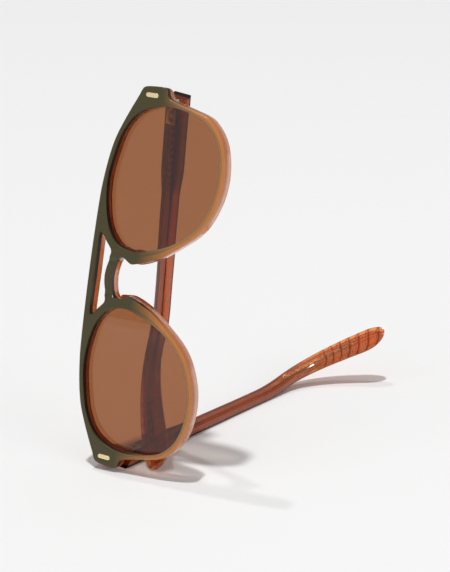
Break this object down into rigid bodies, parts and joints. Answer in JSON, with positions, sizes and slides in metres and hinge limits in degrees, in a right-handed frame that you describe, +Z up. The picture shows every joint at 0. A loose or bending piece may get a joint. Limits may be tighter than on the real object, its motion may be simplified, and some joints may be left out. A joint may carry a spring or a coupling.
{
  "type": "sunglasses",
  "caption": "Laminated acetate sunglasses with a brow bar and a lower bridge, tinted lenses and folding temples, standing on one side.",
  "frame": {"origin": "the point on the ground under the middle of the standing pair's box", "axes": "+Z up, -Y the way the lenses face, +X towards the lower rims (the brow is towards -X)"},
  "size_m": [0.073, 0.1326, 0.1395],
  "materials": {
    "dark_acetate": "polished dark olive acetate",
    "amber_acetate": "polished translucent amber acetate",
    "lens_tint": "polished brown tinted lens",
    "gilt_metal": "polished gilt metal",
    "hinge_steel": "satin warm steel"
  },
  "bodies": {
    "front": {"front_face_lamination": "dark_acetate", "front_back_lamination": "amber_acetate", "left_lens": "lens_tint", "left_nose_pad": "amber_acetate", "left_plaque": "gilt_metal", "left_hinge_front_leaf": "hinge_steel", "left_hinge_screw": "hinge_steel", "right_lens": "lens_tint", "right_nose_pad": "amber_acetate", "right_plaque": "gilt_metal", "right_hinge_front_leaf": "hinge_steel", "right_hinge_screw": "hinge_steel"},
    "left_temple": {"left_hinge_temple_leaf": "hinge_steel", "left_leaf_rivet_1": "hinge_steel", "left_leaf_rivet_2": "hinge_steel", "left_temple": "amber_acetate", "left_temple_skin": "dark_acetate", "left_temple_core": "hinge_steel"},
    "right_temple": {"right_hinge_temple_leaf": "hinge_steel", "right_leaf_rivet_1": "hinge_steel", "right_leaf_rivet_2": "hinge_steel", "right_temple": "amber_acetate", "right_temple_skin": "dark_acetate", "right_temple_core": "hinge_steel"}
  },
  "joints": [
    {"name": "left_temple_open", "type": "hinge", "parent": "front", "child": "left_temple", "pos_m": [-0.01126, -0.02876, 0.13217], "axis": [0.9502, -0.3115, 0], "range_deg": [0, 75.6]},
    {"name": "right_temple_fold", "type": "hinge", "parent": "front", "child": "right_temple", "pos_m": [-0.0205, -0.05697, 0.0056], "axis": [0.9502, -0.3115, 0], "range_deg": [-7.2, 24]}
  ]
}
